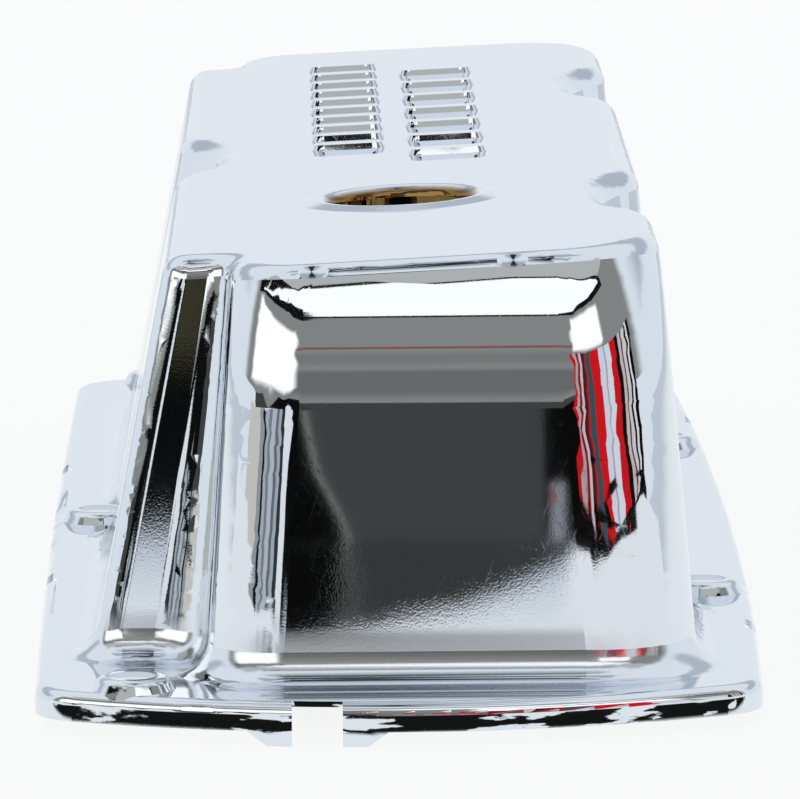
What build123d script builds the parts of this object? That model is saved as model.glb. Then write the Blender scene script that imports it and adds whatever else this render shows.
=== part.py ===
from build123d import *
import os
from math import cos, radians, sin, sqrt, tan

# A pressed sheet-steel valve cover for one bank of a V8 engine, and the oil baffle welded inside it.
#
# Frame: millimetres, +Z up, +Y along the engine, origin at the middle of the cover's footprint,
# level with the tips of the gasket tabs it stands on. The side with three bolts is -X, and the
# side with two bolts is +X.

# ---- sheet and rail -------------------------------------------------------------------------
sheet = 1.2                # thickness of the cover's steel
rail_length = 481.0        # overall, over both bowed ends
rail_width = 157.3         # overall, over both bowed sides
end_bow = 19.7             # how far each end bows out past its corners
left_bow = 1.2             # the same for the three-bolt side
right_bow = 4.4            # the same for the two-bolt side
rail_corner = 14.0         # corner radius of the rail in plan
lip_height = 6.0           # top of the rail down to the edge of the turned-down lip
lip_roll = 2.6             # outer radius where the rail turns down into the lip

# ---- gasket tabs and notches in the lip ------------------------------------------------------
tab_drop = 3.1             # tips of the tabs below the edge of the lip
tab_width = 5.2            # flat tip of one tab
tab_run = 4.2              # length of the slope from a tip up to the lip
tab_round = 1.2            # radius at the outer corner of a tip
notch_width = 10.5         # gap between the two tabs of a pair
end_notch_x = -18.7        # the pair in each end lip
left_notch_y = 79.0        # pairs in the left lip, either side of the middle
right_notch_y = 148.0      # pairs in the right lip, either side of the middle

# ---- the raised body -------------------------------------------------------------------------
body_height = 87.0         # top face above the rail, on the centre line
top_slope = 2.65           # degrees, the top face climbs towards +X
right_ledge = 16.65        # edge of the rail, at its widest, to where the two-bolt side wall meets it
left_ledge_near = 12.05    # the same for the three-bolt side wall at the -Y end
left_ledge_far = 15.65     # and at the +Y end
end_ledge = 24.2           # the same for the end walls
right_draft = 4.8          # degrees each wall leans in from upright
left_draft = 11.0
end_draft = 4.0
crown_start = 57.0         # height over the rail where an end wall starts to curve in towards the top
crown_radius = 62.0
front_corner = 24.0        # radius of the two upright corners on the two-bolt side
top_radius = 5.0           # outer radius round the edge of the top face
root_radius = 7.0          # outer radius where the walls run out into the rail

# ---- corner pockets for the end bolts of the three-bolt side ---------------------------------
pocket_width = 36.85       # edge of the rail to the side of the pocket
pocket_length = 55.5       # end of the rail to the back of the pocket
pocket_nose = 16.0         # radius of the upright nose beside the end wall
pocket_inside = 12.0       # radius in the depth of the pocket, at the rail
pocket_narrowing = 0.09    # what that radius loses for one millimetre of height
pocket_edge = 5.4          # radius of the edge between the pocket and the side wall

# ---- scallops in the side walls for the other three bolts ------------------------------------
scallop_depth = 7.0        # how far a scallop bites into the wall at the rail
scallop_radius = 40.0      # its plan radius at the rail
scallop_blend = 16.0       # radius that eases it into the wall at the rail
scallop_flare = 0.0058     # growth of all three for one millimetre of height

# ---- bolts -----------------------------------------------------------------------------------
bolt_hole = 9.5            # diameter
pad_radius = 9.4           # foot of the raised seat under a bolt head
pad_slope = 2.2            # how much narrower its top is
pad_height = 2.7
pad_round = 2.2            # radius round its top
pad_sink = 1.0             # how far its foot starts below the rail
corner_bolt_inset = 21.85  # end bolts of the three-bolt side, from the edge of the rail at its widest
corner_bolt_end = 20.7     # and from the end of the rail
left_bolt_inset = 10.8     # the other bolts, from the edge of the rail at its widest
right_bolt_inset = 11.3
right_bolt_y = 105.0       # two-bolt side, either side of the middle

# ---- breather hole ---------------------------------------------------------------------------
breather_x = 1.2
breather_from_end = 141.8  # from the -Y end of the rail
breather_bore = 31.75      # diameter inside the rolled collar
collar_foot = 45.0         # diameter where the raised ring leaves the top face
collar_slope = 12.0        # degrees, outer slope of the ring
collar_roll = 2.6          # outer radius of the rolled edge
collar_depth = 4.4         # bottom of the collar below the top face

# ---- raised bars on the top face -------------------------------------------------------------
bar_height = 1.3
bar_width = 6.0
bar_taper = 24.0           # degrees, slope of a bar's sides
bars_from_breather = 176.7 # middle of the left row, from the breather hole
left_bars = {"x": -9.5, "shift": 0.0, "length": 17.0, "count": 10, "pitch": 18.0}
right_bars = {"x": 13.0, "shift": -18.0, "length": 18.0, "count": 7, "pitch": 27.0}

# ---- dimples over the front edge of the top face ---------------------------------------------
dimple_x = 2.0             # middle of the pair
dimple_spread = 41.7
dimple_tilt = 41.0         # degrees round the edge, from the top face towards the end wall
dimple_ball = 11.0         # radius of the punch
dimple_depth = 0.5

# ---- oil baffle ------------------------------------------------------------------------------
baffle_sheet = 0.9
baffle_length = 140.0      # overall, centred under the breather
baffle_width = 56.0
baffle_gap = 16.0          # from the underside of the top face down to the baffle's plate
baffle_flange = 12.0       # length of the welded flange at each end
baffle_run = 14.0          # length over which each end climbs to its flange
baffle_bend = 2.0          # inner radius of each bend

# ---- worked out from the sizes above ---------------------------------------------------------
rail_top = lip_height + tab_drop
half_length = rail_length / 2
half_width = rail_width / 2
half_corner = half_length - end_bow
right_wall = half_width - right_ledge
left_wall_near = half_width - left_ledge_near
left_wall_far = half_width - left_ledge_far
end_wall = half_length - end_ledge
pocket_wall = half_width - pocket_width
pocket_end = half_length - pocket_length
breather_y = breather_from_end - half_length
bars_y = breather_y + bars_from_breather
slope = radians(top_slope)
loft_top = body_height + half_width * tan(slope) + 1
crown_middle_y = end_wall - crown_start * tan(radians(end_draft)) - crown_radius * cos(radians(end_draft))
crown_middle_z = rail_top + crown_start - crown_radius * sin(radians(end_draft))
corner_bolt_x = corner_bolt_inset - half_width
corner_bolt_y = half_length - corner_bolt_end
left_bolt_x = left_bolt_inset - half_width
right_bolt_x = half_width - right_bolt_inset
bolts = [
    (corner_bolt_x, -corner_bolt_y),
    (left_bolt_x, 0),
    (corner_bolt_x, corner_bolt_y),
    (right_bolt_x, -right_bolt_y),
    (right_bolt_x, right_bolt_y),
]


def top_plane(inset, x=0, y=0):
    """The sloping top face, pushed in by inset, with its origin above x, y."""
    height = rail_top + body_height + x * tan(slope) - inset / cos(slope)
    return Plane(origin=(x, y, height), x_dir=(cos(slope), 0, sin(slope)), z_dir=(-sin(slope), 0, cos(slope)))


def bow_radius(chord, bow):
    """Radius of the arc that rises by bow over a chord."""
    return (chord * chord / 4 + bow * bow) / (2 * bow)


def rail_outline(inset):
    """Plan of the rail: a wide slot for its bowed ends, cut down by two great discs to its bowed sides."""
    left_radius = bow_radius(2 * half_corner, left_bow)
    right_radius = bow_radius(2 * half_corner, right_bow)
    end_radius = bow_radius(rail_width - left_bow - right_bow, end_bow)
    middle = (left_bow - right_bow) / 2
    with BuildSketch() as outline:
        with Locations((left_radius - half_width, 0)):
            Circle(left_radius - inset)
        with Locations((half_width - right_radius, 0)):
            Circle(right_radius - inset, mode=Mode.INTERSECT)
        with Locations((middle, 0)):
            SlotOverall(rail_length - 2 * inset, 2 * (end_radius - inset), rotation=90, mode=Mode.INTERSECT)
        fillet(outline.vertices(), rail_corner - inset)
    return outline.sketch


def body_outline(height, inset):
    """Plan of the body at a height above the rail, with its walls pushed in by inset and its ends left long."""
    right = right_wall - height * tan(radians(right_draft)) - inset
    end = rail_length
    nose = -pocket_wall + height * tan(radians(end_draft)) + inset
    back = pocket_end - height * tan(radians(end_draft)) - inset
    lean = height * tan(radians(left_draft)) + inset
    skew = (left_wall_near - left_wall_far) / (2 * end_wall)
    left_middle = -(left_wall_near + left_wall_far) / 2 + lean
    corners = [
        (right, -end), (right, end), (nose, end), (nose, back), (left_middle + skew * back, back),
        (left_middle - skew * back, -back), (nose, -back), (nose, -end),
    ]
    inside = pocket_inside - pocket_narrowing * height + inset
    radii = [front_corner - inset, front_corner - inset, pocket_nose - inset, inside,
             pocket_edge - inset, pocket_edge - inset, inside, pocket_nose - inset]
    growth = 1 + scallop_flare * height
    depth = scallop_depth * growth
    radius = scallop_radius * growth
    blend = scallop_blend * growth - inset
    cuts = [
        (right + inset - depth + radius, -right_bolt_y),
        (right + inset - depth + radius, right_bolt_y),
        (left_middle - inset + depth - radius, 0),
    ]
    with BuildSketch(Plane.XY.offset(rail_top + height)) as outline:
        with BuildLine():
            FilletPolyline(*corners, radius=radii, close=True)
        make_face()
        with Locations(*cuts):
            Circle(radius + inset, mode=Mode.SUBTRACT)
        rims = [
            vertex for vertex in outline.vertices()
            if min(abs((Vector(vertex.X, vertex.Y) - Vector(*cut)).length - radius - inset) for cut in cuts) < 0.01
        ]
        fillet(rims, blend)
    return outline.sketch


def bar_outline(inset):
    """The raised bars, in the plane of the top face: two rows of slots that lie across the cover."""
    with BuildSketch(top_plane(inset)) as outline:
        for row in (left_bars, right_bars):
            with Locations((row["x"], bars_y + row["shift"])):
                with GridLocations(0, row["pitch"], 1, row["count"]):
                    SlotOverall(row["length"] - 2 * inset, bar_width - 2 * inset)
    return outline.sketch


def crown_point(inset, tilt):
    """Point of an end wall's crown, out from the middle and up, where the wall leans in by tilt degrees."""
    radius = crown_radius - inset
    return crown_middle_y + radius * cos(radians(tilt)), crown_middle_z + radius * sin(radians(tilt))


def end_form(inset):
    """Solid between the two end walls, seen along X: straight below and crowned above."""
    start_y, start_z = crown_point(inset, end_draft)
    foot_y = start_y + start_z * tan(radians(end_draft))
    bend_y, bend_z = crown_point(inset, 45)
    with BuildPart() as form:
        with BuildSketch(Plane.YZ):
            with BuildLine():
                Polyline((-start_y, start_z), (-foot_y, 0), (foot_y, 0), (start_y, start_z))
                ThreePointArc((start_y, start_z), (bend_y, bend_z), crown_point(inset, 90))
                Line(crown_point(inset, 90), (-crown_middle_y, crown_point(inset, 90)[1]))
                ThreePointArc((-crown_middle_y, crown_point(inset, 90)[1]), (-bend_y, bend_z), (-start_y, start_z))
            make_face()
        extrude(amount=rail_width, both=True)
    return form.part


def raised_body(inset):
    """The body with its upright corners rounded, not yet rounded at the top."""
    walls = loft([body_outline(-lip_height, inset).face(), body_outline(loft_top, inset).face()], ruled=True)
    with BuildPart() as body:
        add(split(walls, bisect_by=top_plane(inset), keep=Keep.BOTTOM))
        add(end_form(inset), mode=Mode.INTERSECT)
        past_pocket = (end_wall + pocket_end) / 2
        uprights = [
            edge for edge in body.edges()
            if abs(edge.center().Y) > past_pocket and edge.bounding_box().size.Z > top_radius
        ]
        fillet([edge for edge in uprights if edge.center().X > 0], front_corner - inset)
        uprights = [
            edge for edge in body.edges()
            if abs(edge.center().Y) > past_pocket and edge.center().X < -pocket_wall / 2
            and edge.bounding_box().size.Z > top_radius
        ]
        fillet(uprights, pocket_nose - inset)
    return body.part


def pressing(inset):
    """The solid form of the cover, pushed in by inset: the outside of the sheet, or its inside."""
    floor = rail_top - inset
    body = raised_body(inset)
    with BuildPart() as form:
        with BuildSketch():
            add(rail_outline(inset))
        extrude(amount=floor)
        fillet(form.faces().sort_by(Axis.Z)[-1].edges(), lip_roll - inset)
        rail_edges = form.edges()
        add(body)
        root = (form.edges() - rail_edges).filter_by_position(Axis.Z, floor - 0.01, floor + 0.01)
        fillet(root, root_radius + inset)
        fillet(form.faces().sort_by(Axis.Z)[-1].edges(), top_radius - inset)
        extrude(bar_outline(inset), amount=bar_height, taper=bar_taper)
        with Locations(*[(x, y, floor - pad_sink) for x, y in bolts]):
            Cone(pad_radius - inset, pad_radius - pad_slope - inset, pad_height + pad_sink,
                 align=(Align.CENTER, Align.CENTER, Align.MIN))
        pad_tops = form.edges().filter_by_position(Axis.Z, floor + pad_height - 0.01, floor + pad_height + 0.01)
        fillet(pad_tops.filter_by(GeomType.CIRCLE), pad_round - inset)
    return form.part


def collar_section():
    """Half section of the breather collar, across the top face: a low ring rolled down into a bore."""
    lean = radians(collar_slope)
    bore = breather_bore / 2
    roll_x = bore + collar_roll
    crest_x = roll_x + collar_roll * sin(lean)
    foot = collar_foot / 2
    crest = (foot - crest_x) * tan(lean)
    roll_z = crest - collar_roll * cos(lean)
    inner_roll = collar_roll - sheet
    with BuildSketch() as section:
        with BuildLine():
            Line((foot, 0), (crest_x, crest))
            ThreePointArc(
                (crest_x, crest),
                (roll_x - collar_roll * sin(radians(45)), roll_z + collar_roll * cos(radians(45))),
                (bore, roll_z),
            )
            Polyline((bore, roll_z), (bore, -collar_depth), (bore + sheet, -collar_depth), (bore + sheet, roll_z))
            ThreePointArc(
                (bore + sheet, roll_z),
                (roll_x - inner_roll * sin(radians(45)), roll_z + inner_roll * cos(radians(45))),
                (roll_x + inner_roll * sin(lean), roll_z + inner_roll * cos(lean)),
            )
            Polyline(
                (roll_x + inner_roll * sin(lean), roll_z + inner_roll * cos(lean)),
                (foot, -sheet),
                (foot, 0),
            )
        make_face()
    return section.sketch


def notch_gaps():
    """Plan of the notches: each is open to the edge and stops where the rail starts to roll down."""
    with BuildSketch() as gaps:
        with Locations((end_notch_x, -half_length), (end_notch_x, half_length)):
            Rectangle(notch_width, 2 * end_bow)
        with Locations((-half_width, -left_notch_y), (-half_width, left_notch_y)):
            Rectangle(2 * end_bow, notch_width)
        with Locations((half_width, -right_notch_y), (half_width, right_notch_y)):
            Rectangle(2 * end_bow, notch_width)
        add(rail_outline(lip_roll), mode=Mode.SUBTRACT)
    return gaps.sketch


def dimple_centres():
    """Centres of the two balls that press the dimples."""
    out = Vector(0, -sin(radians(dimple_tilt)), cos(radians(dimple_tilt)))
    centres = []
    for x in (dimple_x - dimple_spread / 2, dimple_x + dimple_spread / 2):
        height = top_plane(top_radius, x).origin.Z
        reach = sqrt((crown_radius - top_radius) ** 2 - (height - crown_middle_z) ** 2)
        roll_centre = Vector(x, -crown_middle_y - reach, height)
        centres.append(roll_centre + out * (top_radius + dimple_ball - dimple_depth))
    return centres


# ---- gasket tabs -----------------------------------------------------------------------------
# The pair of tabs at one notch, square on to the lip: tips at the bottom, edge of the lip at the top.
with BuildSketch() as tab_pair:
    reach = notch_width / 2 + tab_width
    with BuildLine():
        Polyline((-reach, 0), (reach, 0), (reach + tab_run, tab_drop), (-reach - tab_run, tab_drop), close=True)
    make_face()
    fillet(tab_pair.vertices().group_by(Axis.Y)[0], tab_round)

# All that is trimmed away below the edge of the lip, which leaves the tabs standing.
with BuildPart() as lip_trim:
    Box(2 * rail_width, 2 * rail_length, tab_drop, align=(Align.CENTER, Align.CENTER, Align.MIN))
    for wall, reach, notches in [
        (Plane.XZ, rail_length, [end_notch_x]),
        (Plane.XZ, -rail_length, [end_notch_x]),
        (Plane.YZ, rail_width, [-right_notch_y, right_notch_y]),
        (Plane.YZ, -rail_width, [-left_notch_y, left_notch_y]),
    ]:
        with BuildSketch(wall):
            with Locations(*[(notch, 0) for notch in notches]):
                add(tab_pair.sketch)
        extrude(amount=reach, mode=Mode.SUBTRACT)

# ---- breather collar -------------------------------------------------------------------------
# A low ring on the top face whose inner edge is rolled down into a bore.
breather_top = top_plane(0, breather_x, breather_y)
collar_profile = collar_section()
with BuildPart() as collar:
    with BuildSketch(Plane(breather_top.origin, x_dir=breather_top.x_dir, z_dir=(0, -1, 0))):
        add(collar_profile)
    revolve(axis=Axis(breather_top.origin, breather_top.z_dir))

# ---- cover shell -----------------------------------------------------------------------------
# One sheet all over: the outside form less the same form pushed in by the sheet.
outside = pressing(0)
inside = pressing(sheet)
gaps = notch_gaps()
with BuildPart() as cover_shell:
    add(outside)
    add(inside, mode=Mode.SUBTRACT)
    add(lip_trim.part, mode=Mode.SUBTRACT)
    extrude(gaps, amount=rail_top + sheet, mode=Mode.SUBTRACT)
    with Locations(*[(x, y, rail_top) for x, y in bolts]):
        Cylinder(bolt_hole / 2, 4 * pad_height, mode=Mode.SUBTRACT)
    with Locations(breather_top):
        Cylinder(collar_foot / 2, 4 * sheet, mode=Mode.SUBTRACT)
    add(collar.part)
    with Locations(*dimple_centres()):
        Sphere(dimple_ball, mode=Mode.SUBTRACT)

# ---- oil baffle ------------------------------------------------------------------------------
# A folded plate under the breather, with a flange at each end welded to the inside of the top face.
under_top = top_plane(sheet, breather_x + baffle_width / 2, breather_y)
with BuildPart() as oil_baffle:
    with BuildLine(Plane(under_top.origin, x_dir=(0, 1, 0), z_dir=under_top.x_dir)):
        half_baffle = baffle_length / 2
        FilletPolyline(
            (-half_baffle, 0),
            (baffle_flange - half_baffle, 0),
            (baffle_flange + baffle_run - half_baffle, -baffle_gap),
            (half_baffle - baffle_flange - baffle_run, -baffle_gap),
            (half_baffle - baffle_flange, 0),
            (half_baffle, 0),
            radius=baffle_bend,
        )
    make_brake_formed(baffle_sheet, baffle_width, side=Side.RIGHT)

cover_shell.part.label = "cover_shell"
oil_baffle.part.label = "oil_baffle"

os.makedirs("parts", exist_ok=True)
export_step(cover_shell.part, "parts/cover_shell.step")
export_step(oil_baffle.part, "parts/oil_baffle.step")
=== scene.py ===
# %% [markdown]
# # A chrome valve cover in the studio
#
# A valve cover closes the top of an engine's cylinder head. This one is a single sheet of
# steel, pressed to shape and chrome plated, with a small oil baffle welded inside.
#
# It could be modelled again here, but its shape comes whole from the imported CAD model, so
# that every face stays true to size. What is left for Blender is the look. Chrome has no
# colour of its own: it shows what stands around it. So this lesson spends as long on the
# studio as on the material.

from math import cos, radians, sin

import bpy
from mathutils import Matrix, Vector


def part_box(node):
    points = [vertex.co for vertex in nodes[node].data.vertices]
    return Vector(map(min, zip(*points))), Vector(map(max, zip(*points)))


MM = 0.001  # Blender works in metres here, and the sizes below are in millimetres

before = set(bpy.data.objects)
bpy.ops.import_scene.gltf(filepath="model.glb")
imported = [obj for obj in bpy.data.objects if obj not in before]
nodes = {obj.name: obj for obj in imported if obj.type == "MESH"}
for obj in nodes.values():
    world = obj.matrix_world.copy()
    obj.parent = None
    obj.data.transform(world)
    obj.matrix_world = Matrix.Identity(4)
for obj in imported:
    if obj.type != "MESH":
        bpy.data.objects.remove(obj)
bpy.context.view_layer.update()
low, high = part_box("cover_shell")
print("pieces", sorted(nodes))
print("cover", [round(v / MM, 1) for v in high - low], "mm")

# %% [markdown]
# ## Camera
#
# The cover is seen from its near end, a little from above, through a long lens from about
# two metres. A camera can be aimed by a constraint at a target, or turned by angles. Angles
# are used here, because pan, tilt and roll then stay three plain numbers.

# %% Camera
CAMERA_PLACE = Vector((-25.93, -2084.2, 346.86)) * MM
CAMERA_PAN = radians(-0.768)
CAMERA_TILT = radians(81.534)
CAMERA_ROLL = radians(-0.407)
FOCAL_PIXELS = 9100  # focal length, in pixels of a picture IMAGE_WIDTH wide
IMAGE_WIDTH = 800
SENSOR = 36.0
VIEW_END = 20.0

camera_data = bpy.data.cameras.new("camera")
camera_data.sensor_fit = "HORIZONTAL"
camera_data.sensor_width = SENSOR
camera_data.lens = FOCAL_PIXELS * SENSOR / IMAGE_WIDTH
camera_data.clip_end = VIEW_END
camera = bpy.data.objects.new("camera", camera_data)
turn = Matrix.Rotation(CAMERA_PAN, 4, "Z") @ Matrix.Rotation(CAMERA_TILT, 4, "X")
turn = turn @ Matrix.Rotation(CAMERA_ROLL, 4, "Z")
camera.matrix_world = Matrix.Translation(CAMERA_PLACE) @ turn
bpy.context.scene.collection.objects.link(camera)
bpy.context.scene.camera = camera
print("lens", round(camera_data.lens, 1), "mm")

# %% [markdown]
# ## Colours
#
# Paint charts and screens give a colour as sRGB hex, but Blender's shaders count light,
# which is linear. Each colour could be typed as three linear numbers. Hex is easier to
# read and to check, so one function turns it to linear.

# %% From sRGB hex to linear


def linear(hex_colour):
    """The linear colour of an sRGB hex string."""
    channels = [int(hex_colour[i : i + 2], 16) / 255 for i in (1, 3, 5)]
    curve = [c / 12.92 if c <= 0.04045 else ((c + 0.055) / 1.055) ** 2.4 for c in channels]
    return (*curve, 1.0)


print("middle grey is", round(linear("#808080")[0], 3), "of white")

# %% [markdown]
# ## Nodes
#
# A material is a tree of nodes. It could be drawn by hand in the shader editor. Written
# as code it is the same on every run, and two helpers keep it short: one makes an empty
# tree, and one adds a node with its settings, values and links.

# %% Helpers for node trees


def new_tree(name):
    """A new node material, and its empty tree."""
    material = bpy.data.materials.new(name)
    material.use_nodes = True
    material.node_tree.nodes.clear()
    return material, material.node_tree


def add(tree, kind, inputs=None, **settings):
    """Adds a node. Each input is a value, an output socket, or a node that gives its first output."""
    node = tree.nodes.new("ShaderNode" + kind)
    for key, value in settings.items():
        setattr(node, key, value)
    for key, value in (inputs or {}).items():
        if isinstance(value, bpy.types.Node):
            value = value.outputs[0]
        if isinstance(value, bpy.types.NodeSocket):
            tree.links.new(value, node.inputs[key])
        else:
            node.inputs[key].default_value = value
    return node


print("helpers: new_tree, add")

# %% [markdown]
# ## Where the press stretched the steel
#
# A press draws a flat sheet into a die. The steel stretches most low on the walls and in
# the corner pockets, and its grain rises there. The stretch could be painted on the mesh,
# but the walls and pockets lie along the axes, so ramps on the object's own X, Y and Z find
# them, and hold when a size changes. A smooth Map Range is a ramp: it climbs from one value
# to another between two places.

# %% A mask that is 1 where the steel was drawn
RAIL_TOP = low.z + 9.5 * MM
DRAWN_FULL = low.z + 14 * MM
DRAWN_TOP = low.z + 50 * MM
POCKET_SIDE = -37 * MM
POCKET_BACK = high.y - 62 * MM
SIDE_FADE = 4 * MM
BACK_FADE = 12 * MM
POCKET_SHARE = 0.8  # the pockets are drawn a little less than the foot of the walls
SMOOTH = {"interpolation_type": "SMOOTHSTEP"}  # makes a Map Range ease in and out


def drawn_steel(tree, split):
    """How far the press stretched the steel: 1 low on the walls and nearly 1 in the pockets."""
    height = split.outputs["Z"]
    down = add(tree, "MapRange", {"Value": height, "From Min": DRAWN_TOP, "From Max": DRAWN_FULL}, **SMOOTH)
    up = add(tree, "MapRange", {"Value": height, "From Min": RAIL_TOP, "From Max": DRAWN_FULL}, **SMOOTH)
    low_down = add(tree, "Math", {0: down, 1: up}, operation="MULTIPLY")
    at_side = add(tree, "MapRange", {"Value": split.outputs["X"], "From Min": POCKET_SIDE,
                                     "From Max": POCKET_SIDE - SIDE_FADE}, **SMOOTH)
    along = add(tree, "Math", {0: split.outputs["Y"]}, operation="ABSOLUTE")
    at_end = add(tree, "MapRange", {"Value": along, "From Min": POCKET_BACK - BACK_FADE,
                                    "From Max": POCKET_BACK}, **SMOOTH)
    in_pocket = add(tree, "Math", {0: at_side, 1: at_end}, operation="MULTIPLY")
    in_pocket = add(tree, "Math", {0: in_pocket, 1: POCKET_SHARE}, operation="MULTIPLY")
    return add(tree, "Math", {0: low_down, 1: in_pocket}, operation="MAXIMUM")


print("steel drawn from", round(RAIL_TOP / MM, 1), "to", round(DRAWN_TOP / MM, 1), "mm up")

# %% [markdown]
# ## Waves and orange peel
#
# No pressed sheet is quite flat. Long shallow waves bend what it mirrors, and where the
# steel was drawn a fine orange peel breaks it up. Both could be modelled in the mesh, but
# they are microns deep, so two noise textures tilt the light instead, as bumps. The real
# grain of drawn steel is near 0.1 mm. That is too fine to show, so it is drawn 0.45 mm
# wide.

# %% Bumps for waves and orange peel
WAVE_LENGTH = 30 * MM
WAVE_DEPTH = 0.006 * MM
PEEL_GRAIN = 0.45 * MM
PEEL_DEPTH = 0.0002 * MM
DRAWN_PEEL_DEPTH = 0.0028 * MM
PEEL_PATCH = 22 * MM  # the peel is stronger in some patches than in others
PATCH_FULL = 0.5  # stretch times noise at which the peel is deepest


def pressed_surface(tree, place, drawn):
    """The normal of pressed and drawn sheet steel."""
    patchy = add(tree, "TexNoise", {"Vector": place, "Scale": 1 / PEEL_PATCH, "Detail": 2.0})
    strong = add(tree, "Math", {0: drawn, 1: patchy}, operation="MULTIPLY")
    deep = add(tree, "MapRange", {"Value": strong, "From Max": PATCH_FULL,
                                  "To Min": PEEL_DEPTH / DRAWN_PEEL_DEPTH}, **SMOOTH)
    waves = add(tree, "TexNoise", {"Vector": place, "Scale": 1 / WAVE_LENGTH, "Detail": 1.0})
    peel = add(tree, "TexNoise", {"Vector": place, "Scale": 1 / PEEL_GRAIN, "Detail": 2.0})
    swell = add(tree, "Bump", {"Height": waves, "Distance": WAVE_DEPTH})
    grain = add(tree, "Math", {0: peel, 1: deep}, operation="MULTIPLY")
    return add(tree, "Bump", {"Height": grain, "Distance": DRAWN_PEEL_DEPTH, "Normal": swell})


print("peel", round(DRAWN_PEEL_DEPTH / MM * 1000, 1), "microns deep where drawn")

# %% [markdown]
# ## Hairline scratches
#
# Wiping leaves hairlines in chrome, long and thin, and they only show where the mirror is
# dark. Each could be a curve of its own. Noise that is stretched eighty times one way
# gives hundreds at once, and three directions keep them from looking combed. Real ones are
# about 0.02 mm wide. That is too fine to show, so they lie 0.4 mm apart and are rougher
# only by a little.

# %% A mask that is 1 on a scratch
SCRATCH_LENGTH = 34 * MM
SCRATCH_GAP = 0.40 * MM
SCRATCH_TURNS = [(0, 1.05, 0.3), (0, 0.8, -0.4), (0, -1.2, 0.1)]  # radians about X, Y and Z
SCRATCH_STARTS = 0.60  # what the noise has to reach
SCRATCH_FULL = 0.80


def scratches(tree, place):
    """Hairlines in three directions: 1 on a scratch, 0 elsewhere."""
    found = 0.0
    for turn in SCRATCH_TURNS:
        size = (SCRATCH_LENGTH, SCRATCH_GAP, SCRATCH_GAP)
        turned = add(tree, "Mapping", {"Vector": place, "Rotation": turn, "Scale": size},
                     vector_type="TEXTURE")
        lines = add(tree, "TexNoise", {"Vector": turned, "Scale": 1.0, "Detail": 1.0})
        line = add(tree, "MapRange", {"Value": lines, "From Min": SCRATCH_STARTS, "From Max": SCRATCH_FULL},
                   **SMOOTH)
        found = add(tree, "Math", {0: found, 1: line}, operation="MAXIMUM")
    return found


print("scratches in", len(SCRATCH_TURNS), "directions,", round(SCRATCH_LENGTH / MM), "mm long")

# %% [markdown]
# ## How rough the chrome is
#
# Clean chrome is nearly a perfect mirror, with a roughness of about 0.02. It is duller on
# a scratch, where the steel was drawn, and most of all in the root of the walls, where the
# plating grows thin. Three materials could be given to three sets of faces, but the change
# is gradual, so one material takes the largest of three roughnesses.

# %% Roughness of the plate
ROUGHNESS = 0.02
SCRATCH_ROUGHNESS = 0.05
DRAWN_ROUGHNESS = 0.035
DRAWN_STARTS = 0.3  # how far the steel is drawn before it dulls
ROOT_ROUGHNESS = 0.15
ROOT_TOP = low.z + 16 * MM
ROOT_FADE = 7 * MM
RAIL_FADE = 2 * MM


def plate_roughness(tree, place, split, drawn):
    """The roughness of chrome that is worn, drawn and thin in places."""
    height = split.outputs["Z"]
    worn = add(tree, "MapRange", {"Value": scratches(tree, place), "To Min": ROUGHNESS,
                                  "To Max": SCRATCH_ROUGHNESS}, **SMOOTH)
    stretched = add(tree, "MapRange", {"Value": drawn, "From Min": DRAWN_STARTS,
                                       "To Max": DRAWN_ROUGHNESS}, **SMOOTH)
    rough = add(tree, "Math", {0: worn, 1: stretched}, operation="MAXIMUM")
    above = add(tree, "MapRange", {"Value": height, "From Min": RAIL_TOP, "From Max": RAIL_TOP + RAIL_FADE},
                **SMOOTH)
    below = add(tree, "MapRange", {"Value": height, "From Min": ROOT_TOP + ROOT_FADE, "From Max": ROOT_TOP},
                **SMOOTH)
    at_root = add(tree, "Math", {0: above, 1: below}, operation="MULTIPLY")
    thin = add(tree, "Math", {0: at_root, 1: ROOT_ROUGHNESS}, operation="MULTIPLY")
    return add(tree, "Math", {0: rough, 1: thin}, operation="MAXIMUM")


print("roughness", ROUGHNESS, "clean,", DRAWN_ROUGHNESS, "drawn,", ROOT_ROUGHNESS, "in the root")

# %% [markdown]
# ## A painted reflection in the breather hole
#
# Oil mist leaves the engine by the breather hole. The chrome of its bore is tinted brown,
# a painted reflection of warm colours. A second material on the collar's faces would end
# in a hard line. The distance from the hole's axis gives a soft one.

# %% A mask that is 1 inside the breather hole
BREATHER_AXIS = Vector((1.2, -98.7, 0)) * MM
BREATHER_RADIUS = 31.75 / 2 * MM
BORE_TINT_STARTS = 1.6 * MM  # outside the bore
BORE_TINT_FULL = 0.2 * MM


def painted_bore_reflection(tree, place):
    """Where a brown reflection is painted: 1 in the bore of the breather hole."""
    off_axis = add(tree, "VectorMath", {0: place, 1: BREATHER_AXIS}, operation="SUBTRACT")
    flat = add(tree, "VectorMath", {0: off_axis, 1: (1, 1, 0)}, operation="MULTIPLY")
    from_axis = add(tree, "VectorMath", {0: flat}, operation="LENGTH").outputs["Value"]
    return add(tree, "MapRange", {"Value": from_axis, "From Min": BREATHER_RADIUS + BORE_TINT_STARTS,
                                  "From Max": BREATHER_RADIUS + BORE_TINT_FULL}, **SMOOTH)


print("breather hole", round(2 * BREATHER_RADIUS / MM, 2), "mm across")

# %% [markdown]
# ## Chrome plate
#
# The real finish is bright decorative chrome: a very thin layer of chromium, plated over
# nickel on the pressed steel. It gives the eye a hard, slightly bluish mirror. A glossy
# shader alone would do, but the Principled shader as a full metal also exports well. Its
# IOR stays at the default, and its colour is what chromium reflects.

# %% Material: chrome plate
CHROME = "#E6EBF1"
# painted reflection: the chrome in the bore of the breather hole is tinted this brown
BORE_REFLECTION_BROWN = "#8A6B3E"


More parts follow.
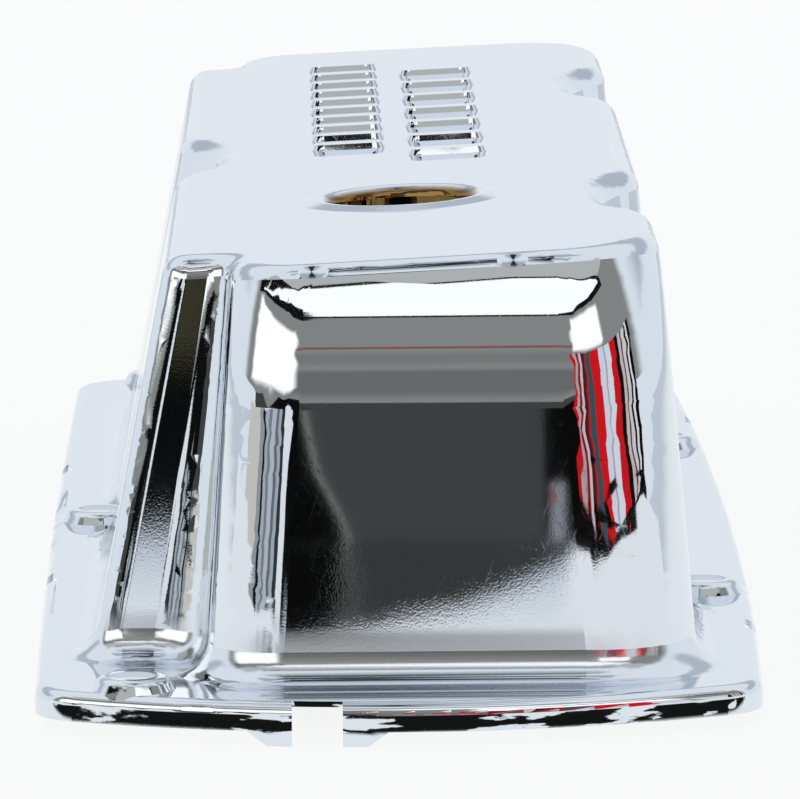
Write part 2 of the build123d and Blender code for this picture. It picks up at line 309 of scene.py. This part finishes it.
def chrome_plate():
    """Bright chrome on pressed steel."""
    material, tree = new_tree("chrome_plate")
    place = add(tree, "TexCoord").outputs["Object"]
    split = add(tree, "SeparateXYZ", {"Vector": place})
    drawn = drawn_steel(tree, split)
    # the bore of the breather hole gets a painted brown reflection
    colour = add(tree, "MixRGB", {"Fac": painted_bore_reflection(tree, place), "Color1": linear(CHROME),
                                  "Color2": linear(BORE_REFLECTION_BROWN)})
    shader = add(tree, "BsdfPrincipled", {"Base Color": colour, "Metallic": 1.0,
                                          "Roughness": plate_roughness(tree, place, split, drawn),
                                          "Normal": pressed_surface(tree, place, drawn)})
    add(tree, "OutputMaterial", {"Surface": shader})
    print("chrome plate:", len(tree.nodes), "nodes")
    return material


chrome = chrome_plate()

# %% [markdown]
# ## Bright steel
#
# The oil baffle under the breather hole is plain cold-rolled sheet steel, never plated and
# always wet with oil. That gives the eye a brownish, clouded shine. A coat of clear oil
# over steel could be built from two layers, but the film is thin, so one metal with a
# warm colour and a cloudy roughness is enough. Rolled steel has a roughness of about 0.3,
# and it is duller where the oil is thin.

# %% Material: bright steel
OILY_STEEL = "#8C744A"
STEEL_CLOUDS = 60.0  # in a metre
STEEL_SMOOTHEST = 0.28
STEEL_ROUGHEST = 0.42


def bright_steel():
    """Bare cold-rolled steel with a film of oil."""
    material, tree = new_tree("bright_steel")
    place = add(tree, "TexCoord").outputs["Object"]
    cloud = add(tree, "TexNoise", {"Vector": place, "Scale": STEEL_CLOUDS, "Detail": 4.0})
    rough = add(tree, "MapRange", {"Value": cloud, "To Min": STEEL_SMOOTHEST, "To Max": STEEL_ROUGHEST})
    shader = add(tree, "BsdfPrincipled", {"Base Color": linear(OILY_STEEL), "Metallic": 1.0,
                                          "Roughness": rough})
    add(tree, "OutputMaterial", {"Surface": shader})
    print("bright steel:", len(tree.nodes), "nodes")
    return material


steel = bright_steel()

# %% [markdown]
# ## Dressing the two pieces
#
# The pressing and the baffle come from the CAD model with plain materials. A mesh can
# carry several materials in slots, one for each face. Each piece is of one finish, so its
# slots are emptied and it gets one material on every face.

# %% Give each piece its material


def dress(name, material):
    """Gives one material to every face of a piece."""
    mesh = nodes[name].data
    mesh.materials.clear()
    mesh.materials.append(material)
    for face in mesh.polygons:
        face.material_index = 0
    print(name, "has", len(mesh.polygons), "faces of", material.name)


dress("cover_shell", chrome)
dress("oil_baffle", steel)

# %% [markdown]
# ## Meshes of the studio
#
# The studio is made of plain meshes with a handful of points each. They could be added
# with Blender's own planes and then bent. Listing the points is shorter, and puts each
# edge where its reflection should fall. They are kept in a list of the studio, since none
# is a piece of the cover.

# %% Helper for studio meshes
studio = []


def stage_mesh(name, points, faces, material):
    """A mesh of the studio, which isn't part of the cover."""
    mesh = bpy.data.meshes.new(name)
    mesh.from_pydata(points, [], faces)
    mesh.materials.append(material)
    thing = bpy.data.objects.new(name, mesh)
    bpy.context.scene.collection.objects.link(thing)
    studio.append(thing)
    return thing


print("helper: stage_mesh")

# %% [markdown]
# ## What mirrors see of the floor
#
# The cover stands on white paper. The paper is painted greyer far from the lamps, and a
# patchy band of painted shade lies in front of the bowed near lip, which mirrors it. The
# band could be a mesh of its own. Its edge follows the lip's arc and its blots are ragged,
# so a distance from the arc's middle and a noise texture draw it more simply.

# %% Colours of the mirrored floor
PAPER = "#F3F6F8"
PAPER_AFAR = "#CDD4DC"
GREY_STARTS = 0.5  # metres from the middle of the cover
GREY_FULL = 1.6
# painted shade: the colour of the blots in the band in front of the near lip
PAINTED_LIP_SHADE = "#171817"
LIP_RADIUS = 156 * MM  # of the bowed near end, in plan
LIP_MIDDLE = Vector((-1.6 * MM, low.y + LIP_RADIUS, 0))
DARK_START = 14 * MM  # out from the lip
DARK_START_FADE = 5 * MM
DARK_END = 90 * MM
DARK_END_FADE = 15 * MM
DARK_BEHIND = 20 * MM  # how far the band reaches back past the near end
BLOT_WIDTH = 24 * MM
BLOT_LENGTH = 14 * MM
BLOT_STARTS = 0.445  # what the noise has to reach
BLOT_FULL = 0.465


def lip_shade_arc(tree, place):
    """A band of painted shade along the bowed near lip: 1 on the band, 0 elsewhere."""
    off_lip = add(tree, "VectorMath", {0: place, 1: LIP_MIDDLE}, operation="DISTANCE").outputs["Value"]
    start, end = LIP_RADIUS + DARK_START, LIP_RADIUS + DARK_END
    inner = add(tree, "MapRange", {"Value": off_lip, "From Min": start, "From Max": start + DARK_START_FADE},
                **SMOOTH)
    outer = add(tree, "MapRange", {"Value": off_lip, "From Min": end, "From Max": end - DARK_END_FADE},
                **SMOOTH)
    arc = add(tree, "Math", {0: inner, 1: outer}, operation="MULTIPLY")
    split = add(tree, "SeparateXYZ", {"Vector": place})
    in_front = add(tree, "Math", {0: split.outputs["Y"], 1: low.y + DARK_BEHIND}, operation="LESS_THAN")
    return add(tree, "Math", {0: arc, 1: in_front}, operation="MULTIPLY")


def mirrored_floor(tree, place):
    """White paper near the cover, painted greyer afar, with a patchy band of painted shade in front of the
    near lip.
    """
    far = add(tree, "VectorMath", {0: place}, operation="LENGTH").outputs["Value"]
    afar = add(tree, "MapRange", {"Value": far, "From Min": GREY_STARTS, "From Max": GREY_FULL}, **SMOOTH)
    paper = add(tree, "MixRGB", {"Fac": afar, "Color1": linear(PAPER), "Color2": linear(PAPER_AFAR)})
    stretched = add(tree, "Mapping", {"Vector": place, "Scale": (1 / BLOT_WIDTH, 1 / BLOT_LENGTH, 1.0)})
    noise = add(tree, "TexNoise", {"Vector": stretched, "Scale": 1.0, "Detail": 8.0})
    blots = add(tree, "MapRange", {"Value": noise, "From Min": BLOT_STARTS, "From Max": BLOT_FULL},
                **SMOOTH)
    # the painted shade of the band, broken into blots
    dark = add(tree, "Math", {0: lip_shade_arc(tree, place), 1: blots}, operation="MULTIPLY")
    return add(tree, "MixRGB", {"Fac": dark, "Color1": paper, "Color2": linear(PAINTED_LIP_SHADE)})


print("dark band", round(DARK_START / MM), "to", round(DARK_END / MM), "mm in front of the lip")

# %% [markdown]
# ## The floor
#
# The eye should see plain white with a faint shadow, and the chrome should see the paper
# with its band. One diffuse plane can't be both. A Light Path node tells the rays apart:
# reflections get the paper's glow, the camera gets white mixed with a little shadow, and
# every other ray gets plain white paper.

# %% The floor and its material
PAPER_HALF = 4.0
WHITE = "#FFFFFF"
CLEAR_WHITE = 0.86  # the rest of what the camera sees is lit paper, with the cover's shadow


def floor_material():
    """White paper whose reflection is drawn by mirrored_floor."""
    material, tree = new_tree("paper")
    path = add(tree, "LightPath")
    place = add(tree, "TexCoord").outputs["Object"]
    in_mirror = add(tree, "Emission", {"Color": mirrored_floor(tree, place)})
    lit = add(tree, "BsdfDiffuse", {"Color": linear(WHITE)})
    white = add(tree, "Emission", {"Color": linear(WHITE)})
    faint = add(tree, "MixShader", {0: CLEAR_WHITE, 1: lit, 2: white})
    seen = add(tree, "MixShader", {0: path.outputs["Is Camera Ray"], 1: lit, 2: faint})
    either = add(tree, "MixShader", {0: path.outputs["Is Glossy Ray"], 1: seen, 2: in_mirror})
    add(tree, "OutputMaterial", {"Surface": either})
    return material


square = [(-1, -1), (1, -1), (1, 1), (-1, 1)]
floor_points = [(x * PAPER_HALF, y * PAPER_HALF, 0) for x, y in square]
stage_mesh("floor", floor_points, [(0, 1, 2, 3)], floor_material())
print("floor", 2 * PAPER_HALF, "m square")

# %% [markdown]
# ## The tent
#
# Shiny things are pictured inside a tent of white cloth, so that they mirror cloth and not
# the room. It could be a dome of mesh. The world does the same with less: pale and bluish
# for light and reflections, and pure white for the camera.

# %% The world
TENT = "#EAEFF5"

world = bpy.data.worlds.new("studio")
bpy.context.scene.world = world
world.use_nodes = True
tree = world.node_tree
tree.nodes.clear()
path = add(tree, "LightPath")
tent = add(tree, "Background", {"Color": linear(TENT), "Strength": 1.0})
backdrop = add(tree, "Background", {"Color": linear(WHITE), "Strength": 1.0})
either = add(tree, "MixShader", {0: path.outputs["Is Camera Ray"], 1: tent, 2: backdrop})
add(tree, "OutputWorld", {"Surface": either})
print("world:", len(tree.nodes), "nodes")

# %% [markdown]
# ## A ball of patches
#
# The tent is open in front, and the near end wall mirrors what stands out there. Whole
# rooms could be modelled, but a mirror only knows directions. So each thing is a patch of
# a great ball round the near end, placed by its azimuth and its elevation in degrees.
# Azimuth 0 is straight out from the near end, and it grows to the right. Layers keep one
# patch in front of another.

# %% Directions on the ball
BALL_MIDDLE = Vector((0, low.y, 50 * MM))
BALL_RADIUS = 1.6
LAYER_GAP = 0.01


def direction(azimuth, elevation):
    """The unit vector of an azimuth and an elevation in degrees."""
    a, e = radians(azimuth), radians(elevation)
    return Vector((sin(a) * cos(e), -cos(a) * cos(e), sin(e)))


def on_ball(azimuth, elevation, layer):
    """A point of the ball; a higher layer is nearer to the cover."""
    return BALL_MIDDLE + direction(azimuth, elevation) * (BALL_RADIUS - layer * LAYER_GAP)


print("straight out is", [round(v, 2) for v in on_ball(0, 0, 0)], "m")

# %% [markdown]
# ## Glowing cards
#
# A lamp sheet, a window and a grey wall differ only in how bright they are. Area lamps
# would light the scene too, but their shapes are simple and their edges hard. An emission
# shader on a mesh takes any outline. Where a card has soft edges, an attribute of its
# points called inside falls to 0 there, and the shader turns clear. Cards are hidden from
# the camera, so only reflections and light see them.

# %% Glow and card


def glow(name, colour, strength=1.0, soft=False):
    """A light that fades out where the mesh's attribute inside falls to 0."""
    material, tree = new_tree(name)
    surface = add(tree, "Emission", {"Color": linear(colour), "Strength": strength})
    if soft:
        inside = add(tree, "Attribute", attribute_name="inside").outputs["Fac"]
        shown = add(tree, "MapRange", {"Value": inside}, **SMOOTH)
        surface = add(tree, "MixShader", {0: shown, 1: add(tree, "BsdfTransparent"), 2: surface})
    add(tree, "OutputMaterial", {"Surface": surface})
    return material


def card(name, points, faces, material):
    """A piece of the studio that only reflections and light can see."""
    thing = stage_mesh(name, points, faces, material)
    thing.visible_camera = False
    thing.visible_shadow = False
    return thing


print("helpers: glow, card")

# %% [markdown]
# ## Patches with soft edges
#
# Most patches lie between two azimuths and two elevations. A flat card between the corners
# would cut through the ball, so a patch is a grid of small steps. A soft edge is one more
# row or column, whose outer points have inside at 0.

# %% Helper for patches
PATCH_STEP = 4.0  # degrees


def steps(ends, soft):
    """Even steps of at most about PATCH_STEP, with one more step of soft degrees at each end."""
    start, end = ends[0] + soft, ends[1] - soft
    count = max(1, round((end - start) / PATCH_STEP))
    inner = [start + (end - start) * i / count for i in range(count + 1)]
    return [ends[0]] + inner + [ends[1]] if soft else inner


def patch(name, azimuths, elevations, colour, strength=1.0, layer=0, soft=(0.0, 0.0)):
    """A glowing patch of the ball between two azimuths and two elevations."""
    across, up = steps(azimuths, soft[0]), steps(elevations, soft[1])
    points = [on_ball(a, e, layer) for e in up for a in across]
    wide = len(across)
    corners = [row * wide + i for row in range(len(up) - 1) for i in range(wide - 1)]
    faces = [(c, c + 1, c + wide + 1, c + wide) for c in corners]
    thing = card(name, points, faces, glow(name, colour, strength, any(soft)))
    edge = [(soft[1] and e in elevations) or (soft[0] and a in azimuths) for e in up for a in across]
    inside = thing.data.attributes.new("inside", "FLOAT", "POINT")
    inside.data.foreach_set("value", [0.0 if at_edge else 1.0 for at_edge in edge])
    return thing


print("helper: patch, in steps of", PATCH_STEP, "degrees")

# %% [markdown]
# ## The room and its wall
#
# Through the open front the end wall sees a dark room low down, and a grey wall over it
# with a red line. The corner pocket looks a little to the left, at an olive curtain. The
# wall could be one patch with a gradient. Three greys and a thin line give the same bands,
# and each is easy to move.

# %% Room, wall and pocket
patch("room", (-70, 53), (-14, 6), "#434543")
patch("wall", (-98, 98), (6, 45), "#8C8E8A", soft=(10, 0))
patch("wall_low", (-40, 40), (6, 17), "#707270", layer=1, soft=(0, 2.5))
patch("wall_mid", (-40, 40), (17, 24), "#7F817D", layer=1, soft=(0, 2.5))
patch("wall_line", (-30, 30), (24.3, 25.5), "#8D514B", layer=2, soft=(0, 0.4))
patch("pocket_olive", (-4.2, -1.7), (0.5, 6), "#3E3B2C", layer=5, soft=(0.1, 0.25))
patch("pocket_edge", (-4.2, -3.35), (-0.5, 0.9), "#5A5747", layer=5, soft=(0.15, 0.3))
print(len(studio), "studio meshes after the room")

# %% [markdown]
# ## The tent's roof and back
#
# The rounded edges of the cover mirror all heights of the tent. A tent that is pale all
# over leaves them blank, so its cloth is greyer overhead and behind, a dark pole runs
# along its roof, and a dark rail carries the lamp. Soft edges hide where each begins.

# %% Rail, roof, pole and back
patch("lamp_frame_top", (-50, 50), (58, 61.5), "#1A1C1F", layer=2, soft=(3, 0.5))
patch("tent_roof", (-80, 80), (70, 112), "#B0B7BF", layer=1, soft=(20, 6))
patch("tent_pole", (-45, 45), (78, 102), "#2E3134", layer=2, soft=(15, 6))
patch("tent_back", (100, 260), (14, 34), "#B9C2CC", layer=1, soft=(20, 6))
print(len(studio), "studio meshes after the tent")

# %% [markdown]
# ## Windows
#
# Two windows stand at the sides of the room. They are the brightest things that the round
# corners mirror, and show as white spots. Area lamps would light the white floor as well.
# Patches a little brighter than white give clean spots, and soft edges keep them from
# looking cut out.

# %% Two windows
WINDOW_STRENGTH = 1.3  # where 1 is the white of paper

patch("window_left", (-84, -8), (7, 33), WHITE, WINDOW_STRENGTH, layer=3, soft=(6, 2.5))
patch("window_right", (15, 54), (22, 37), WHITE, WINDOW_STRENGTH, layer=4, soft=(4, 2))
print(len(studio), "studio meshes after the windows")

# %% [markdown]
# ## The left corner
#
# The upright corners of the cover are round, so each shows a wide part of the room as
# narrow stripes. Those on the left are pale cloth, grey stands and dark gaps. A picture
# could be wrapped round them, but stripes side by side are all that the eye can tell.
# Each entry says where a stripe ends, going out from the middle, and its colour.

# %% Stripes on the left
STRIPE_LAYER = 4
LEFT_START = -0.8
LEFT_STRIPES = [(-14, "#0C0D0D"), (-21.5, "#ECEEF0"), (-26.5, "#35383B"), (-31, "#A9B0B8"),
                (-35, "#6B7178"), (-41, "#B9BFC6"), (-45, "#7F868E"), (-50, "#AEB4BB"),
                (-53.5, "#1A1B1C"), (-60, "#9A9DA0"), (-80, "#CFCDC4")]


def stripes(name, start, ends, elevations):
    """Upright stripes side by side, from start outwards."""
    for number, (end, colour) in enumerate(ends):
        azimuths = (min(start, end), max(start, end))
        patch(f"{name}_{number}", azimuths, elevations, colour, layer=STRIPE_LAYER)
        start = end


stripes("left", LEFT_START, LEFT_STRIPES, (-14, 2.8))
patch("left_cap", (-52, LEFT_START), (2.8, 5.9), "#0E0F0F", layer=STRIPE_LAYER)
print(len(LEFT_STRIPES), "stripes on the left")

# %% [markdown]
# ## The slanting pole
#
# Beside the left corner a pale pole slants across the dark room, with a black curtain
# behind it. Its curve doesn't follow the ball's lines, so a grid patch would show steps.
# Both are panels with an outline of their own, and share the pole's line.

# %% Curtain and pole
POLE_LINE = [(-0.70, 1.0), (-0.66, 0.0), (-0.50, -0.8), (-0.14, -1.5), (0.02, -2.0), (0.06, -2.6),
             (-0.02, -3.4)]
POLE_WIDTH = 0.09
POLE_GREY = "#7E807A"
CURTAIN = "#090909"


def panel(name, outline, colour, layer):
    """A glowing panel with the outline given in azimuth and elevation."""
    points = [on_ball(a, e, layer) for a, e in outline]
    card(name, points, [range(len(points))], glow(name, colour))


panel("left_dark", [(-0.9, 5.8), (-0.9, -14), (-0.02, -14)] + POLE_LINE[::-1] + [(-0.74, 5.8)], CURTAIN, 5)
panel("left_pole", POLE_LINE + [(a + POLE_WIDTH, e) for a, e in POLE_LINE[::-1]], POLE_GREY, 6)
print("pole slants over", round(POLE_LINE[-2][0] - POLE_LINE[0][0], 2), "degrees")

# %% [markdown]
# ## The right corner
#
# On the right stand red and white boards, with black painted shade under them. They are
# stripes again. The corner leans a little more with every step outwards, so the feet of
# the outer boards are set higher, and their reflections then end on one level.

# %% Stripes on the right
BOARD_TOP = 22
RIGHT_BOARDS = {  # name: start, foot, and where each stripe ends
    "right_low": (14.8, -0.35, [(16.8, "#C81C26"), (19.6, "#B9A6A8"), (22.1, "#8E1A22"), (24.6, "#D9C4C6")]),
    "right_middle": (24.6, 0.1, [(28, "#4A2226"), (29.8, "#C01C26"), (35.3, "#3E5458")]),
    "right_red": (35.3, 0.4, [(44.3, "#D81B22")]),
    "right_high": (44.3, 0.55, [(50, "#D9DBE4"), (51.5, "#A5A7B0"), (57.8, "#DFE1E8"), (64.8, "#D01B24"),
                                (68.8, "#17110F"), (72, "#CDBFBE"), (73.5, "#4A3C38"), (77.6, "#D9CFCE"),
                                (79.9, "#100D0C"), (82.4, "#E4E4E4"), (86, "#0E0C0B")]),
}

# painted shade: a black patch under and behind the boards on the right
patch("right_shade", (2.75, 86), (-14, 4.4), "#0C0C0C", layer=3)
for board, (start, foot, ends) in RIGHT_BOARDS.items():
    stripes(board, start, ends, (foot, BOARD_TOP))
    print(board, "has", len(ends), "stripes")
patch("bench", (2.84, 3.08), (-1.9, -0.95), "#8B8E93", layer=5, soft=(0.03, 0.1))
patch("bench_red", (2.88, 2.94), (-1.35, -1.05), "#B3202A", layer=6, soft=(0.01, 0.1))
print(len(studio), "studio meshes after the right corner")

# %% [markdown]
# ## The lamp sheet
#
# High in front hangs the lamp: a white sheet in a black frame. The crowned top of the end
# wall stretches it, and the round corners bend its ends. A plain patch would end upright
# there. A screen takes its lower and upper edge at several azimuths, so its ends can slant.
# The frame is a little larger than the sheet and one layer behind it.

# %% Frame, sheet and cloth over it
SHEET_EDGE = [(-80, 34.2, 34.8), (-75, 36, 36.6), (-62, 39.3, 39.8), (-49, 42, 42.8), (-34.5, 43, 46.4),
              (-14.2, 41.8, 48.6), (-0.8, 40, 47.6), (-0.66, 38, 47.6), (1, 38, 49), (2.5, 38, 51),
              (4, 38, 53), (10.8, 38.4, 53.2), (15.6, 38.6, 52.6), (22.5, 38.7, 51.6), (37.5, 40.6, 49.4),
              (49, 41, 47.2), (53, 41.6, 46.4), (62.5, 42, 43)]
FRAME_EDGE = [(-88, 30, 35), (-73.7, 34.7, 39), (-62, 37.8, 42), (-46.6, 39.5, 44.4), (-30, 39.2, 47.8),
              (-14.4, 38, 49.3), (-0.75, 36.2, 48.3), (-0.6, 37.3, 48.3), (1, 37.3, 49.7), (2.5, 37.3, 51.7),
              (4, 37.3, 53.7), (10.8, 37.6, 53.8), (22.5, 37.4, 52.2), (38, 37.8, 50), (49, 38.2, 47.9),
              (60, 39.6, 45.4), (66, 40, 43.5)]


def strip_faces(columns):
    """Faces that join two rows of points, given column by column."""
    return [(2 * i, 2 * i + 2, 2 * i + 3, 2 * i + 1) for i in range(len(columns) - 1)]


def screen(name, columns, material, layer):
    """A screen whose lower and upper edges are given at several azimuths."""
    points = [on_ball(azimuth, e, layer) for azimuth, *ends in columns for e in ends]
    card(name, points, strip_faces(columns), material)


LAMP_STRENGTH = 1.2

screen("lamp_frame", FRAME_EDGE, glow("lamp_frame", "#141516"), 2)
screen("lamp_sheet", SHEET_EDGE, glow("lamp_sheet", WHITE, LAMP_STRENGTH), 3)
patch("lamp_top", (-90, 90), (44, 58), "#BDBEBC", layer=1, soft=(8, 0))
print("lamp sheet from", SHEET_EDGE[0][0], "to", SHEET_EDGE[-1][0], "degrees")

# %% [markdown]
# ## Where the paper ends
#
# The foot of the end wall looks down a little, so it mirrors the floor out in front. The
# paper ends on a slant there and the dark floor of the room begins, with the curtain and
# the foot of the pole on it, and a grey band of painted shade crosses the paper nearer in.
# All this could be drawn in the paper's material. Flat cards are simpler, each a fraction
# of a millimetre over the one below. Their points are in millimetres: to the right, and out
# from the near end.

# %% Cards on the floor
ROOM_FLOOR = "#3A3B3A"
# painted shade: the grey of a band across the paper, seen only in reflections
SHADE_BAND_GREY = "#7C7E7A"
ROOM_EDGE = [(-45, 425), (-25, 432), (-8, 523), (10, 643), (28, 758), (49, 973), (70, 1216), (95, 1700)]
ROOM_BACK = [(95, 3500), (-45, 3500)]
POLE_FOOT = [(-2.5, 1500), (-4.3, 1145), (-7.5, 698), (-11, 514), (-13.5, 490)]
POLE_FOOT_WIDTH = 1.8
SHADE_BAND_OUTLINE = [(-45, 250), (75, 250), (75, 470), (20, 430), (-25, 405), (-45, 405)]


def floor_card(name, outline, height, colour):
    """A flat card over the floor."""
    points = [(x * MM, low.y - out * MM, height * MM) for x, out in outline]
    card(name, points, [range(len(points))], glow(name, colour))


floor_card("room_floor", ROOM_EDGE + ROOM_BACK, 0.5, ROOM_FLOOR)
floor_card("dark_floor", [(-45, 1500)] + POLE_FOOT + [(-25, 432), (-45, 425)], 1.0, CURTAIN)
far_side = [(x + POLE_FOOT_WIDTH, out) for x, out in POLE_FOOT[::-1]]
floor_card("pole_foot", POLE_FOOT + far_side, 1.5, POLE_GREY)
# painted shade: a grey band across the paper
floor_card("paper_shade_band", SHADE_BAND_OUTLINE, 0.4, SHADE_BAND_GREY)
print("paper ends", ROOM_EDGE[0][1], "to", ROOM_EDGE[-1][1], "mm out")

# %% [markdown]
# ## The curled edge of the paper
#
# At both sides the paper curls up a few centimetres. The foot of each round corner looks
# out almost level, so it sees the curl, and the rest looks over it. The paper could be
# bent as a whole, but only the rim is ever mirrored, so the curl is a low fence on an arc
# round the near end. Each entry gives an azimuth and the height of the rim in millimetres.

# %% The curl
CURL = "#F0F2F4"
CURL_RADIUS = 0.6
CURL_EDGE = [(-100, 45), (-75, 42), (-67, 38), (-52, 25), (-30, 8), (-3, 0), (4.9, 0), (5.2, 20), (12, 25),
             (21.7, 29.4), (44, 44), (62, 46), (84, 46), (100, 30)]

curl_points = []
for azimuth, height in CURL_EDGE:
    out = direction(azimuth, 0) * CURL_RADIUS
    for z in (0.0, height * MM):
        curl_points.append((BALL_MIDDLE.x + out.x, BALL_MIDDLE.y + out.y, z))
card("paper_curl", curl_points, strip_faces(CURL_EDGE), glow("paper_curl", CURL))
print(len(studio), "studio meshes in all")

# %% [markdown]
# ## View transform
#
# The Standard view transform shows a colour as it was written, where the filmic ones would
# grey the white paper. No piece of the cover was moved or reshaped.

# %% View transform
bpy.context.scene.view_settings.view_transform = "Standard"
